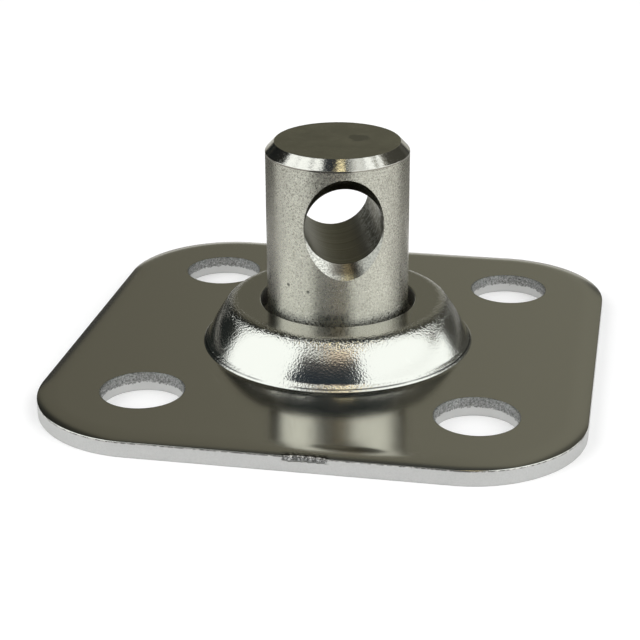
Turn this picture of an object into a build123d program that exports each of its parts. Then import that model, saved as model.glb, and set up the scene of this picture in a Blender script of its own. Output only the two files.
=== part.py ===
from build123d import *
import math
import os

# Swivel base plate for a deck: a pressed stainless plate with a raised dome
# and four screw holes, and a turned post whose head is trapped in the hollow
# of the dome, so that the post turns freely and can't pull out.
# Millimetres, +Z up. The origin is on the deck, under the middle of the plate.
# X runs along the front edge, which faces -Y.

# Blank of the plate, cut from 16 gauge sheet
plate_side = 44.0
plate_corner_r = 9.45
sheet_t = 1.6
rim_roll_r = 0.6            # soft upper edge that the blanking tool leaves

# Dome raised in the middle of the plate
dome_rise = 3.65            # from the top of the plate to the top of the dome
dome_foot_r = 10.78         # where the flank would meet the plate with no fillet
flank_angle = 68.0          # of the flank, above the plate
shoulder_r = 1.7            # outer radius from the flat top to the flank
foot_fillet_r = 0.65        # outer radius from the flank to the plate
hollow_corner_r = 0.25      # inner radius under the shoulder
dome_skirt = 0.9            # flat ring kept round the dome, past its foot fillet

# Holes for the deck screws
screw_r = 3.0               # M6
screw_gap = 0.3             # close clearance round the screw
screw_half_pitch = 13.4     # from the middle of the plate, along X and along Y
screw_burnish = 0.75        # smooth lower part of a pierced hole
screw_breakout = 0.06       # how much wider the torn upper part ends

# Torn mark in the front edge, where the blank was parted from its strip
tear_x = 1.55
tear_width = 3.7
tear_depth = 0.16
tear_floor = 0.9            # its lower end, above the deck

# Post, turned from bar
post_r = 6.0
post_rise = 13.8            # from the top of the dome to the top of the post
post_chamfer_down = 0.8
post_chamfer_in = 0.75
post_turn = 16.4            # the cross bore's turn from the front at rest
swivel_gap = 0.5            # round the post in the mouth of the dome
mouth_edge_r = 0.2          # broken edge of that mouth

# Head of the post, inside the dome
head_top_gap = 0.3          # end play under the roof of the dome
head_side_gap = 0.3
head_deck_gap = 0.2
head_chamfer = 0.4
head_fillet_r = 0.2         # between the head and the post

# Cross bore through the post, countersunk at both mouths
pin_r = 3.0                 # clevis pin
pin_gap = 0.2
bore_drop = 5.8             # of the bore's axis, below the top of the post
sink_depth = 1.1            # of each 90 degree countersink, at the crown of the post

# Sizes worked out from those above
flank = math.radians(flank_angle)
half_flank = math.tan(flank / 2)
dome_top = sheet_t + dome_rise
shoulder_corner_r = dome_foot_r - dome_rise / math.tan(flank)
hollow_roof = dome_top - sheet_t
hollow_offset = sheet_t / math.sin(flank)
hollow_corner_at = shoulder_corner_r - hollow_offset + sheet_t / math.tan(flank)
hollow_foot_at = hollow_corner_at + hollow_roof / math.tan(flank)
hollow_fillet_r = foot_fillet_r + sheet_t
skirt_r = dome_foot_r + foot_fillet_r * half_flank + dome_skirt
mouth_r = post_r + swivel_gap
screw_hole_r = screw_r + screw_gap
head_top = hollow_roof - head_top_gap
head_r = hollow_corner_at - head_side_gap
post_top = dome_top + post_rise
bore_r = pin_r + pin_gap
bore_z = post_top - bore_drop
tear_r = tear_width**2 / (8 * tear_depth) + tear_depth / 2


def corner_near(section, r, z):
    """The corner of an open section sketch that lies nearest to radius r, height z."""
    return section.vertices().sort_by_distance((r, z, 0))[0]


# Plate and dome: one pressing
with BuildPart() as base_plate:
    # Blank with its rolled upper edge
    with BuildSketch():
        RectangleRounded(plate_side, plate_side, plate_corner_r)
        Circle(skirt_r, mode=Mode.SUBTRACT)
    extrude(amount=sheet_t)
    upper_edges = base_plate.faces().sort_by(Axis.Z)[-1].outer_wire().edges()
    fillet(upper_edges, rim_roll_r)

    # Section of the drawn sheet, the same thickness all the way, turned about Z
    with BuildSketch(Plane.XZ) as dome_section:
        with BuildLine():
            Polyline(
                (mouth_r, dome_top),
                (shoulder_corner_r, dome_top),
                (dome_foot_r, sheet_t),
                (skirt_r, sheet_t),
                (skirt_r, 0),
                (hollow_foot_at, 0),
                (hollow_corner_at, hollow_roof),
                (mouth_r, hollow_roof),
                close=True,
            )
        make_face()
        fillet(corner_near(dome_section, shoulder_corner_r, dome_top), shoulder_r)
        fillet(corner_near(dome_section, dome_foot_r, sheet_t), foot_fillet_r)
        fillet(corner_near(dome_section, hollow_foot_at, 0), hollow_fillet_r)
        fillet(corner_near(dome_section, hollow_corner_at, hollow_roof), hollow_corner_r)
        fillet(corner_near(dome_section, mouth_r, dome_top), mouth_edge_r)
    revolve(axis=Axis.Z)

    # Screw holes: straight where the punch cut, wider above where the metal tore
    with GridLocations(2 * screw_half_pitch, 2 * screw_half_pitch, 2, 2):
        Hole(screw_hole_r)
    with BuildSketch(Plane.XY.offset(screw_burnish)):
        with GridLocations(2 * screw_half_pitch, 2 * screw_half_pitch, 2, 2):
            Circle(screw_hole_r)
    extrude(
        amount=sheet_t - screw_burnish,
        taper=-math.degrees(math.atan(screw_breakout / (sheet_t - screw_burnish))),
        mode=Mode.SUBTRACT,
    )

    # Torn mark: a shallow hollow in the upper part of the front edge
    with BuildSketch(Plane.XY.offset(tear_floor)):
        with Locations((tear_x, tear_depth - plate_side / 2 - tear_r)):
            Circle(tear_r)
    extrude(amount=sheet_t, mode=Mode.SUBTRACT)

base_plate.part.label = "base_plate"


# Post and head: one turning, with the bore drilled across it
bore_plane = Plane(
    origin=(0, 0, bore_z),
    x_dir=(math.cos(math.radians(post_turn)), math.sin(math.radians(post_turn)), 0),
    z_dir=(math.sin(math.radians(post_turn)), -math.cos(math.radians(post_turn)), 0),
)

with BuildPart() as swivel_post:
    with BuildSketch(Plane.XZ) as post_section:
        with BuildLine():
            Polyline(
                (0, head_deck_gap),
                (head_r - head_chamfer, head_deck_gap),
                (head_r, head_deck_gap + head_chamfer),
                (head_r, head_top - head_chamfer),
                (head_r - head_chamfer, head_top),
                (post_r, head_top),
                (post_r, post_top - post_chamfer_down),
                (post_r - post_chamfer_in, post_top),
                (0, post_top),
                close=True,
            )
        make_face()
        fillet(corner_near(post_section, post_r, head_top), head_fillet_r)
    revolve(axis=Axis.Z)

    # Cross bore, sunk from both sides
    for mouth in (1, -1):
        mouth_plane = Plane(
            origin=bore_plane.origin + bore_plane.z_dir * (mouth * post_r),
            x_dir=bore_plane.x_dir,
            z_dir=bore_plane.z_dir * mouth,
        )
        with Locations(mouth_plane):
            CounterSinkHole(
                radius=bore_r,
                counter_sink_radius=bore_r + sink_depth,
                depth=2 * post_r,
                counter_sink_angle=90,
            )

swivel_post.part.label = "swivel_post"


os.makedirs("parts", exist_ok=True)
export_step(base_plate.part, "parts/base_plate.step")
export_step(swivel_post.part, "parts/swivel_post.step")
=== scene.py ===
"""Dresses the swivel base plate: a pressed, polished sheet with a raised dome, and the turned
post that spins in it. Sizes are in millimetres until a mesh is made, and +Z is up."""

import logging
import math
from collections.abc import Callable
from dataclasses import dataclass
from enum import Enum
from functools import cache, reduce

import bpy
import numpy as np
from mathutils import Matrix, Vector


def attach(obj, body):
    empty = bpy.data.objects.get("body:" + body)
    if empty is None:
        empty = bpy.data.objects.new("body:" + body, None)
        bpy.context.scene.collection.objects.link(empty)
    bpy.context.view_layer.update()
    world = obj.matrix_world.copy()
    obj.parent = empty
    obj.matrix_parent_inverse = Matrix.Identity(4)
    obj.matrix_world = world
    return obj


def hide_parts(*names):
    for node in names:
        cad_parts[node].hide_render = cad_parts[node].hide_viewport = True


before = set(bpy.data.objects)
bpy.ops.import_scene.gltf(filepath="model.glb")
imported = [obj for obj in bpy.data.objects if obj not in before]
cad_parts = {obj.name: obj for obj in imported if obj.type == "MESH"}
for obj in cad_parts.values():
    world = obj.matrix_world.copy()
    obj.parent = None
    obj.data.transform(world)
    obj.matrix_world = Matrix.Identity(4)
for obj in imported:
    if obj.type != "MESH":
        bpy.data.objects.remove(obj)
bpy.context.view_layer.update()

log = logging.getLogger("swivel_base")

Array = np.ndarray
Colour = tuple[float, float, float]
Socket = bpy.types.NodeSocket
Feed = Socket | float | tuple[float, ...]
Feeds = dict[str | int, Feed]

MM = 0.001
WELD = 0.0001
UP = np.array([0.0, 0.0, 1.0])
ENDS = np.array([[0.0], [1.0]])
POLISHED: Colour = (0.66, 0.645, 0.60)
# Dark colour for the real stain on the post's top, and for the painted shade on the sheet near the
# dome's mouth.
STAIN_AND_SHADE: Colour = (0.1, 0.1, 0.08)
SHADOW: Colour = (0.06, 0.06, 0.06)
PURE_WHITE = (1.0, 1.0, 1.0, 1.0)


class Finish(Enum):
    """The finishes that a patch of the fitting can wear."""

    SHEET = "polished_sheet"
    EDGE = "sheared_edge"
    HOLE = "pierced_wall"
    TURNED = "tumbled_turning"
    CUT = "bright_cut"
    SINK = "countersink"
    FACE = "faced_top"
    BORE = "drilled_bore"


def unit(vectors: Array) -> Array:
    """Vectors of length one, along the last axis."""
    return vectors / np.maximum(np.linalg.norm(vectors, axis=-1, keepdims=True), 1e-12)


def columns(*parts: Array | float) -> Array:
    """Coordinates side by side along a new last axis. A number is repeated to fit the rest."""
    return np.stack(np.broadcast_arrays(*parts), axis=-1)


def circle(angle: Array) -> Array:
    """The points (cos, sin) of the unit circle at some angles."""
    return columns(np.cos(angle), np.sin(angle))


def smooth_step(values: Array) -> Array:
    """The curve 3t^2 - 2t^3 of values held between 0 and 1."""
    held = np.clip(values, 0.0, 1.0)
    return held * held * (3.0 - 2.0 * held)


def uneven(rows: int, count: int, grain_size: tuple[float, float], seed: int) -> Array:
    """Random ups and downs with a spread of one, which close on themselves along both sides.

    White noise is smoothed by a bell curve laid over its Fourier transform.

    Args:
        rows: Grid rows.
        count: Grid columns.
        grain_size: How many rows and how many columns one bump takes.
        seed: Fixes the pattern.

    Returns:
        A grid of rows by count.
    """
    noise = np.random.default_rng(seed).standard_normal((rows, count))
    across = np.fft.fftfreq(rows)[:, None] * grain_size[0]
    along = np.fft.fftfreq(count)[None, :] * grain_size[1]
    bell = np.exp(-4.0 * (across**2 + along**2))
    made = np.fft.ifft2(np.fft.fft2(noise) * bell).real
    return (made - made.mean()) / made.std()


def grid_normals(points: Array, facing: Array, closed: bool = False) -> Array:
    """Unit normals of a grid: the cross product of its two finite differences.

    Args:
        points: Rows x columns x 3.
        facing: Vectors that lie roughly on the outer side, of the same or a smaller shape.
        closed: Whether the last column repeats the first.

    Returns:
        Normals of the same shape as points, turned to the side of facing.
    """
    wide = np.concatenate([points[:, -2:-1], points, points[:, 1:2]], axis=1) if closed else points
    down = np.gradient(wide, axis=0, edge_order=2)
    along = np.gradient(wide, axis=1, edge_order=2)
    normals = unit(np.cross(down, along))
    normals = normals[:, 1:-1] if closed else normals
    inward = (normals * facing).sum(axis=-1, keepdims=True) < 0.0
    return np.where(inward, -normals, normals)


def grid_quads(points: Array, first: int = 0) -> Array:
    """The four corner numbers of each face of a grid.

    Args:
        points: Rows x columns x 3.
        first: The number of the first point.

    Returns:
        Faces x 4.
    """
    ids = first + np.arange(points[..., 0].size).reshape(points.shape[:2])
    corners = [ids[:-1, :-1], ids[1:, :-1], ids[1:, 1:], ids[:-1, 1:]]
    return np.stack(corners, axis=-1).reshape(-1, 4)


def link(name: str, data: bpy.types.ID) -> bpy.types.Object:
    """Puts a new object into the scene, at the origin.

    Args:
        name: Its name.
        data: Its mesh, lamp or camera.

    Returns:
        The object.
    """
    made = bpy.data.objects.new(name, data)
    bpy.context.scene.collection.objects.link(made)
    return made


def staged(name: str, points: Array, material: bpy.types.Material) -> bpy.types.Object:
    """Makes a part of the stage, which doesn't belong to the fitting.

    Args:
        name: Its name.
        points: Rows x columns x 3.
        material: What it wears.

    Returns:
        The object.
    """
    mesh = bpy.data.meshes.new(name)
    mesh.from_pydata((points * MM).reshape(-1, 3).tolist(), [], grid_quads(points).tolist())
    mesh.materials.append(material)
    made = link(name, mesh)
    return made


@dataclass(frozen=True)
class Section:
    """A section line: points (r, z) and the outward normal (r, z) at each."""

    points: Array
    normals: Array

    @classmethod
    def through(
        cls, corners: list[tuple[float, float, float]], side: int, run: float = 1.0, bend: float = 6.0
    ) -> "Section":
        """Straight runs joined by arcs that touch both of their runs.

        Args:
            corners: Each corner's r, z and radius. A radius of 0 leaves it sharp.
            side: 1 when the outer side is on the left of the line's direction, or else -1.
            run: Longest step along a run.
            bend: Longest step along an arc, in degrees.

        Returns:
            The section line.
        """
        places = np.array([corner[:2] for corner in corners], dtype=float)
        headings = np.diff(places, axis=0)
        angles = np.unwrap(np.arctan2(headings[:, 1], headings[:, 0]))
        points: list[Array] = []
        turns: list[Array] = []
        start = places[0]
        for index, angle in enumerate(angles):
            ahead = np.array([math.cos(angle), math.sin(angle)])
            last = index == len(angles) - 1
            turn = 0.0 if last else angles[index + 1] - angle
            radius = 0.0 if last else corners[index + 1][2]
            stop = places[index + 1] - ahead * radius * abs(math.tan(turn / 2))
            count = max(1, math.ceil(np.linalg.norm(stop - start) / run))
            share = np.linspace(0.0, 1.0, count + 1)[:, None]
            points.append(start + (stop - start) * share)
            turns.append(np.full(count + 1, angle))
            start = stop
            if radius > 0.0:
                steps = max(2, math.ceil(abs(math.degrees(turn)) / bend))
                swept = np.linspace(angle, angle + turn, steps + 1)
                bow = radius * math.copysign(1.0, turn)
                middle = stop + bow * np.array([-math.sin(angle), math.cos(angle)])
                points.append(middle - bow * columns(-np.sin(swept), np.cos(swept)))
                turns.append(swept)
                start = points[-1][-1]
        heading = np.concatenate(turns)
        return cls(np.concatenate(points), side * columns(-np.sin(heading), np.cos(heading)))

    def part(self, first: int | None, last: int | None) -> "Section":
        """The stretch of the line between two of its points, counted from 0."""
        return Section(self.points[first:last], self.normals[first:last])

    def flat_rows(self) -> int:
        """How many points at the start of the line lie on its first level run."""
        level = np.abs(self.normals[:, 1]) > 1.0 - 1e-9
        return int(np.argmin(level)) if not level.all() else len(level)


@dataclass
class Patch:
    """A grid of surface points with the outward normal at each, and the finish it wears."""

    points: Array
    normals: Array
    finish: Finish

    @classmethod
    def revolved(cls, section: Section, spokes: Array, finish: Finish) -> "Patch":
        """A section line carried round +Z: each point is r times a spoke, plus z up.

        Args:
            section: The line.
            spokes: Unit vectors away from the axis, the last one equal to the first.
            finish: What the patch wears.

        Returns:
            The patch.
        """
        places, leans = section.points, section.normals
        points = places[:, :1, None] * spokes + places[:, 1:, None] * UP
        normals = leans[:, :1, None] * spokes + leans[:, 1:, None] * UP
        return cls(points, normals, finish)

    @classmethod
    def worked(cls, points: Array, facing: Array, finish: Finish) -> "Patch":
        """A closed patch whose normals come from its own points, for torn and uneven metal."""
        return cls(points, grid_normals(points, facing, closed=True), finish)

    @classmethod
    def facing(cls, points: Array, normal: Array, finish: Finish) -> "Patch":
        """A patch whose rows all have the same normals."""
        return cls(points, np.broadcast_to(normal, points.shape), finish)

    def quads(self, first: int) -> Array:
        """Corner numbers of the faces, wound so that they face the way the normals do.

        Args:
            first: The number of the patch's first point.

        Returns:
            Faces x 4.
        """
        one = self.points[1:, 1:] - self.points[:-1, :-1]
        other = self.points[:-1, 1:] - self.points[1:, :-1]
        lean = (np.cross(one, other) * self.normals[:-1, :-1]).sum()
        return grid_quads(self.points, first)[:, :: 1 if lean > 0 else -1]


class Shell:
    """Patches that meet along their edges, joined into one closed mesh."""

    def __init__(self, name: str, patches: list[Patch]) -> None:
        """Takes the shell's name and its patches."""
        self.name = name
        self.patches = patches

    def build(self, finishes: dict[Finish, bpy.types.Material]) -> bpy.types.Object:
        """Joins the patches: points nearer than the weld distance become one vertex.

        A face that lost a corner that way becomes a triangle, and one that lost two is dropped.

        Args:
            finishes: The material for each finish.

        Returns:
            The piece, at the origin.
        """
        points = np.concatenate([patch.points.reshape(-1, 3) for patch in self.patches])
        normals = np.concatenate([patch.normals.reshape(-1, 3) for patch in self.patches])
        firsts = np.cumsum([0] + [patch.points[..., 0].size for patch in self.patches])
        quads = [patch.quads(start) for patch, start in zip(self.patches, firsts)]
        used = list(dict.fromkeys(patch.finish for patch in self.patches))
        worn = [np.full(len(q), used.index(p.finish)) for q, p in zip(quads, self.patches)]

        # The offset keeps round numbers off the borders between the cells of the weld's grid
        cells = np.floor(points / WELD + 0.37).astype(np.int64)
        _, kept, joined = np.unique(cells, axis=0, return_index=True, return_inverse=True)
        corners = np.concatenate(quads)
        faces = joined.reshape(-1)[corners]
        stays = faces != np.roll(faces, -1, axis=1)
        whole = stays.sum(axis=1) >= 3
        stays &= whole[:, None]
        totals = stays.sum(axis=1)[whole]

        mesh = bpy.data.meshes.new(self.name)
        mesh.vertices.add(len(kept))
        mesh.vertices.foreach_set("co", (points[kept] * MM).ravel())
        mesh.loops.add(int(totals.sum()))
        mesh.loops.foreach_set("vertex_index", faces[stays].astype(np.int32))
        mesh.polygons.add(len(totals))
        mesh.polygons.foreach_set("loop_start", (np.cumsum(totals) - totals).astype(np.int32))
        mesh.polygons.foreach_set("material_index", np.concatenate(worn)[whole].astype(np.int32))
        mesh.update(calc_edges=True)
        mesh.normals_split_custom_set(unit(normals[corners[stays]]))
        for finish in used:
            mesh.materials.append(finishes[finish])
        return link(self.name, mesh)


def opaque(colour: Feed) -> Feed:
    """A colour of three numbers with an alpha of one. A linked colour stays as it is."""
    return (*colour, 1.0) if isinstance(colour, tuple) else colour


class Wiring:
    """Adds nodes to a node tree and links them."""

    def __init__(self, owner: bpy.types.Material | bpy.types.World) -> None:
        """Works on the tree of a material or a world, which it empties first.

        Args:
            owner: The material or the world.
        """
        owner.use_nodes = True
        self.tree = owner.node_tree
        self.tree.nodes.clear()

    def feed(self, node: bpy.types.Node, key: str | int, feed: Feed) -> None:
        """Gives one input of a node a value or another node's output.

        Args:
            node: The node.
            key: The input's name or number.
            feed: What it gets.
        """
        if isinstance(feed, Socket):
            self.tree.links.new(feed, node.inputs[key])
        else:
            node.inputs[key].default_value = feed

    def node(self, kind: str, feeds: Feeds | None = None, **settings: object) -> bpy.types.Node:
        """Adds one node.

        Args:
            kind: Blender's name for the node type, with no ShaderNode before it.
            feeds: What each input gets.
            **settings: The node's own properties.

        Returns:
            The node.
        """
        made = self.tree.nodes.new(kind if kind.startswith("Node") else "ShaderNode" + kind)
        for name, value in settings.items():
            setattr(made, name, value)
        for key, feed in (feeds or {}).items():
            self.feed(made, key, feed)
        return made

    def math(self, operation: str, *values: Feed, clamp: bool = False) -> Socket:
        """The output of a Math node."""
        feeds = dict(enumerate(values))
        return self.node("Math", feeds, operation=operation, use_clamp=clamp).outputs[0]

    def times(self, *values: Feed) -> Socket:
        """The product of two or more numbers."""
        return reduce(lambda one, other: self.math("MULTIPLY", one, other), values)

    def plus(self, one: Feed, other: Feed) -> Socket:
        """The sum of two numbers."""
        return self.math("ADD", one, other)

    def minus(self, one: Feed, other: Feed) -> Socket:
        """The first number less the second."""
        return self.math("SUBTRACT", one, other)

    def off(self, one: Feed, other: Feed) -> Socket:
        """How far apart two numbers are."""
        return self.math("ABSOLUTE", self.minus(one, other))

    def span(
        self, value: Feed, low: float, high: float, to_low: float = 0.0, to_high: float = 1.0
    ) -> Socket:
        """The output of a Map Range node that eases from one end to the other."""
        feeds: Feeds = {0: value, 1: low, 2: high, 3: to_low, 4: to_high}
        return self.node("MapRange", feeds, interpolation_type="SMOOTHSTEP").outputs[0]

    def blend(self, share: Feed, one: Feed, other: Feed) -> Socket:
        """A colour between two colours."""
        feeds: Feeds = {0: share, 6: opaque(one), 7: opaque(other)}
        return self.node("Mix", feeds, data_type="RGBA").outputs[2]

    def between(self, share: Feed, one: Feed, other: Feed) -> Socket:
        """A number between two numbers."""
        return self.node("Mix", {0: share, 2: one, 3: other}, data_type="FLOAT").outputs[0]

    def apart(self, place: Socket) -> list[Socket]:
        """The x, y and z of a place."""
        return list(self.node("SeparateXYZ", {0: place}).outputs)

    def length(self, x: Feed, y: Feed, z: Feed = 0.0) -> Socket:
        """The length of a vector."""
        vector = self.node("CombineXYZ", {0: x, 1: y, 2: z}).outputs[0]
        return self.node("VectorMath", {0: vector}, operation="LENGTH").outputs["Value"]

    def noise(self, place: Feed, scale: Feed, detail: float = 2.0, rough: float = 0.5) -> Socket:
        """The value of a three way noise texture, between 0 and 1."""
        feeds: Feeds = {"Vector": place, "Scale": scale, "Detail": detail, "Roughness": rough}
        return self.node("TexNoise", feeds).outputs["Fac"]

    def millimetres(self, turn: float = 0.0) -> Socket:
        """The place on the piece in millimetres.

        Args:
            turn: How far it is turned about +Z, in radians.

        Returns:
            The place.
        """
        feeds: Feeds = {
            "Vector": self.node("TexCoord").outputs["Object"],
            "Rotation": (0.0, 0.0, turn),
            "Scale": (1 / MM, 1 / MM, 1 / MM),
        }
        return self.node("Mapping", feeds).outputs["Vector"]

    def seen(self) -> Socket:
        """1 on the rays of the camera, of gloss and of transmission, and 0 on the others.

        Returns:
            That number.
        """
        path = self.node("LightPath").outputs
        seen = self.math("MAXIMUM", path["Is Camera Ray"], path["Is Glossy Ray"])
        return self.math("MAXIMUM", seen, path["Is Transmission Ray"])


class Effect(Wiring):
    """A node group that finishes share. Its first input is the place on the piece."""

    def __init__(self, name: str, **inputs: float) -> None:
        """Starts the group.

        Args:
            name: The group's name.
            **inputs: Each further input with its usual value.
        """
        self.tree = bpy.data.node_groups.new(name, "ShaderNodeTree")
        self._socket("Place", "INPUT", "NodeSocketVector")
        for key, value in inputs.items():
            self._socket(key, "INPUT").default_value = value
        self.given = self.node("NodeGroupInput").outputs

    def _socket(
        self, name: str, way: str, kind: str = "NodeSocketFloat"
    ) -> bpy.types.NodeTreeInterfaceSocket:
        """A new socket of the group."""
        return self.tree.interface.new_socket(name, in_out=way, socket_type=kind)

    def done(self, name: str, value: Socket) -> bpy.types.NodeTree:
        """Ends the group with its one output.

        Args:
            name: The output's name.
            value: What it puts out.

        Returns:
            The node group.
        """
        self._socket(name, "OUTPUT")
        self.node("NodeGroupOutput", {name: value})
        return self.tree


@cache
def grain() -> bpy.types.NodeTree:
    """Fine uneven speckle: two sizes of noise, the finer one half as strong.

    Returns:
        The node group.
    """
    w = Effect("grain", Size=0.2, Contrast=1.0)
    scale = w.math("DIVIDE", 1.0, w.given["Size"])
    coarse = w.noise(w.given["Place"], scale, 2.0, 0.6)
    fine = w.noise(w.given["Place"], w.times(scale, 2.7), 1.0, 0.6)
    both = w.plus(w.times(coarse, 0.67), w.times(fine, 0.33))
    centred = w.times(w.minus(both, 0.5), w.given["Contrast"])
    return w.done("Value", w.math("ADD", centred, 0.5, clamp=True))


@cache
def hairlines() -> bpy.types.NodeTree:
    """Thin broken lines: the edges of long cells, kept only where slow noise is high.

    Returns:
        The node group.
    """
    w = Effect("hairlines", Spacing=1.0, Length=8.0, Share=0.5)
    narrow = w.math("DIVIDE", 1.0, w.given["Spacing"])
    long = w.math("DIVIDE", 1.0, w.given["Length"])
    stretch = w.node("CombineXYZ", {0: long, 1: narrow, 2: narrow}).outputs[0]
    feeds: Feeds = {0: w.given["Place"], 1: stretch}
    drawn_out = w.node("VectorMath", feeds, operation="MULTIPLY").outputs[0]
    feeds = {"Vector": drawn_out, "Scale": 1.0}
    cells = w.node("TexVoronoi", feeds, feature="DISTANCE_TO_EDGE").outputs
    line = w.span(cells["Distance"], 0.0, 0.035, 1.0, 0.0)
    patchy = w.noise(w.given["Place"], 0.45, 1.0, 0.5)
    level = w.minus(1.0, w.given["Share"])
    gate = w.math("MULTIPLY", w.minus(patchy, level), 12.0, clamp=True)
    return w.done("Mask", w.times(line, gate))


@cache
def lathe_marks() -> bpy.types.NodeTree:
    """Rings of uneven height along one direction, which wander a little round the piece.

    Returns:
        The node group.
    """
    w = Effect("lathe marks", Along=0.0, Pitch=0.1)
    wander = w.times(w.noise(w.given["Place"], 0.35, 1.0, 0.5), 0.12)
    step = w.math("DIVIDE", w.plus(w.given["Along"], wander), w.given["Pitch"])
    feeds: Feeds = {"W": step, "Scale": 1.0, "Detail": 3.0, "Roughness": 0.65}
    rings = w.node("TexNoise", feeds, noise_dimensions="1D").outputs
    return w.done("Height", rings["Fac"])


@cache
def orange_peel() -> bpy.types.NodeTree:
    """Rounded bumps side by side: soft cells mixed with noise of the same size.

    Returns:
        The node group.
    """
    w = Effect("orange peel", Size=0.3)
    scale = w.math("DIVIDE", 1.0, w.given["Size"])
    feeds: Feeds = {"Vector": w.given["Place"], "Scale": scale, "Smoothness": 0.6}
    cells = w.node("TexVoronoi", feeds, feature="SMOOTH_F1").outputs
    soft = w.noise(w.given["Place"], scale, 1.0, 0.5)
    return w.done("Height", w.minus(soft, w.times(cells["Distance"], 0.5)))


@cache
def pits() -> bpy.types.NodeTree:
    """Sparse small dots: the middles of cells whose own random number is high.

    Returns:
        The node group.
    """
    w = Effect("pits", Spacing=2.0, Size=0.1, Share=0.3)
    scale = w.math("DIVIDE", 1.0, w.given["Spacing"])
    cells = w.node("TexVoronoi", {"Vector": w.given["Place"], "Scale": scale}).outputs
    far = w.math("DIVIDE", w.times(cells["Distance"], w.given["Spacing"]), w.given["Size"])
    dot = w.math("SUBTRACT", 1.0, far, clamp=True)
    pick = w.node("SeparateColor", {0: cells["Color"]}).outputs[0]
    return w.done("Mask", w.times(dot, w.math("LESS_THAN", pick, w.given["Share"])))


class Steel(Wiring):
    """A bare stainless material, to be worked up into a finish."""

    def __init__(self, name: str, colour: Colour, roughness: float) -> None:
        """Starts the material.

        Args:
            name: The material's name.
            colour: What it mirrors of white light, straight on.
            roughness: How blurred it mirrors.
        """
        self.material = bpy.data.materials.new(name)
        super().__init__(self.material)
        feeds: Feeds = {"Base Color": opaque(colour), "Metallic": 1.0, "Roughness": roughness}
        self.shader = self.node("BsdfPrincipled", feeds)
        self.node("OutputMaterial", {"Surface": self.shader.outputs["BSDF"]})
        self.place = self.millimetres()

    def wear(self, key: str, feed: Feed) -> None:
        """Gives one input of the shader what it wears in the end."""
        self.feed(self.shader, key, feed)

    def effect(self, kind: Callable[[], bpy.types.NodeTree], **feeds: Feed) -> Socket:
        """The output of a shared effect, at the material's own place unless another is given."""
        return self.node("Group", {"Place": self.place, **feeds}, node_tree=kind()).outputs[0]

    def bump(self, height: Feed, depth: float, under: Socket | None = None) -> Socket:
        """A Bump node's normal.

        Args:
            height: Heights from 0 to 1.
            depth: What a height of 1 stands for, in millimetres.
            under: A normal that it adds to.

        Returns:
            The normal.
        """
        feeds: Feeds = {"Height": height, "Distance": depth * MM, "Strength": 1.0}
        if under is not None:
            feeds["Normal"] = under
        return self.node("Bump", feeds).outputs["Normal"]

    def toned(self, share: Feed, colour: Colour, dark: float, light: float) -> Socket:
        """A colour that goes from a darker to a lighter multiple of itself."""
        one, other = (tuple(scale * part for part in colour) for scale in (dark, light))
        return self.blend(share, one, other)

    def away_from(self, spot: Colour) -> Socket:
        """The distance from a fixed spot on the piece, in millimetres."""
        feeds: Feeds = {0: self.place, 1: spot}
        return self.node("VectorMath", feeds, operation="DISTANCE").outputs["Value"]


@dataclass(frozen=True)
class PolishedSheet:
    """Rolled and polished stainless sheet, drawn rough where the press stretched it."""

    colour: Colour = POLISHED
    roughness: float = 0.13
    peel_size: float = 0.15
    peel_depth: float = 0.017
    drawn_from: float = 8.0
    shoulder_to: float = 9.9
    flared_from: float = 10.95
    groove_shade_at: float = 11.28
    drawn_to: float = 11.55
    shade_inside: float = 9.1
    scratch_turn: float = 0.9

    def dress(self, w: Steel) -> None:
        """Orange peel on the drawn metal, a painted dark line of shade round its foot that stands in
        for a small groove, painted shade that darkens the metal near the mouth, scratches and specks.

        Args:
            w: The material to work up.
        """
        x, y, _ = w.apart(w.place)
        radius = w.length(x, y)
        inner = w.span(radius, self.drawn_from, self.drawn_from + 0.9)
        outer = w.span(radius, self.drawn_to - 0.25, self.drawn_to, 1.0, 0.0)
        shoulder = w.span(radius, self.shoulder_to - 0.6, self.shoulder_to, 3.0, 0.7)
        foot = w.span(radius, self.flared_from, self.flared_from + 0.2, 1.0, 2.4)
        peel = w.times(w.effect(orange_peel, Size=self.peel_size), inner, outer, shoulder, foot)
        waves = w.noise(w.place, 0.22, 1.0, 0.4)
        peeled = w.bump(peel, self.peel_depth, w.bump(waves, 0.004))

        askew = w.millimetres(self.scratch_turn)
        lines = w.effect(hairlines, Place=askew, Spacing=3.4, Length=26.0, Share=0.34)
        specks = w.effect(pits, Spacing=4.5, Size=0.09, Share=0.35)
        marks = w.math("MAXIMUM", lines, specks)
        w.wear("Normal", w.bump(marks, 0.0006, peeled))
        cloud = w.effect(grain, Size=3.0, Contrast=1.0)
        hazy = w.span(cloud, 0.2, 0.8, self.roughness - 0.02, self.roughness + 0.03)
        w.wear("Roughness", w.between(marks, hazy, 0.22))

        lit = w.blend(w.times(marks, 0.12), self.colour, (0.85, 0.84, 0.8))
        # Painted shade: a thin dark ring round the dome's foot, standing in for the shade of a small
        # groove there.
        near_groove_shade = w.span(w.off(radius, self.groove_shade_at), 0.02, 0.06, 0.8, 0.0)
        groove_shaded = w.blend(w.times(near_groove_shade, w.span(waves, 0.3, 0.55)), lit, SHADOW)
        # Painted shade: the metal nearer the mouth than the shoulder is darkened, standing in for the
        # darker reflection of the flat ring there.
        shaded_ring = w.span(radius, self.shade_inside - 0.6, self.shade_inside, 0.2, 0.0)
        w.wear("Base Color", w.blend(shaded_ring, groove_shaded, STAIN_AND_SHADE))


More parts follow.
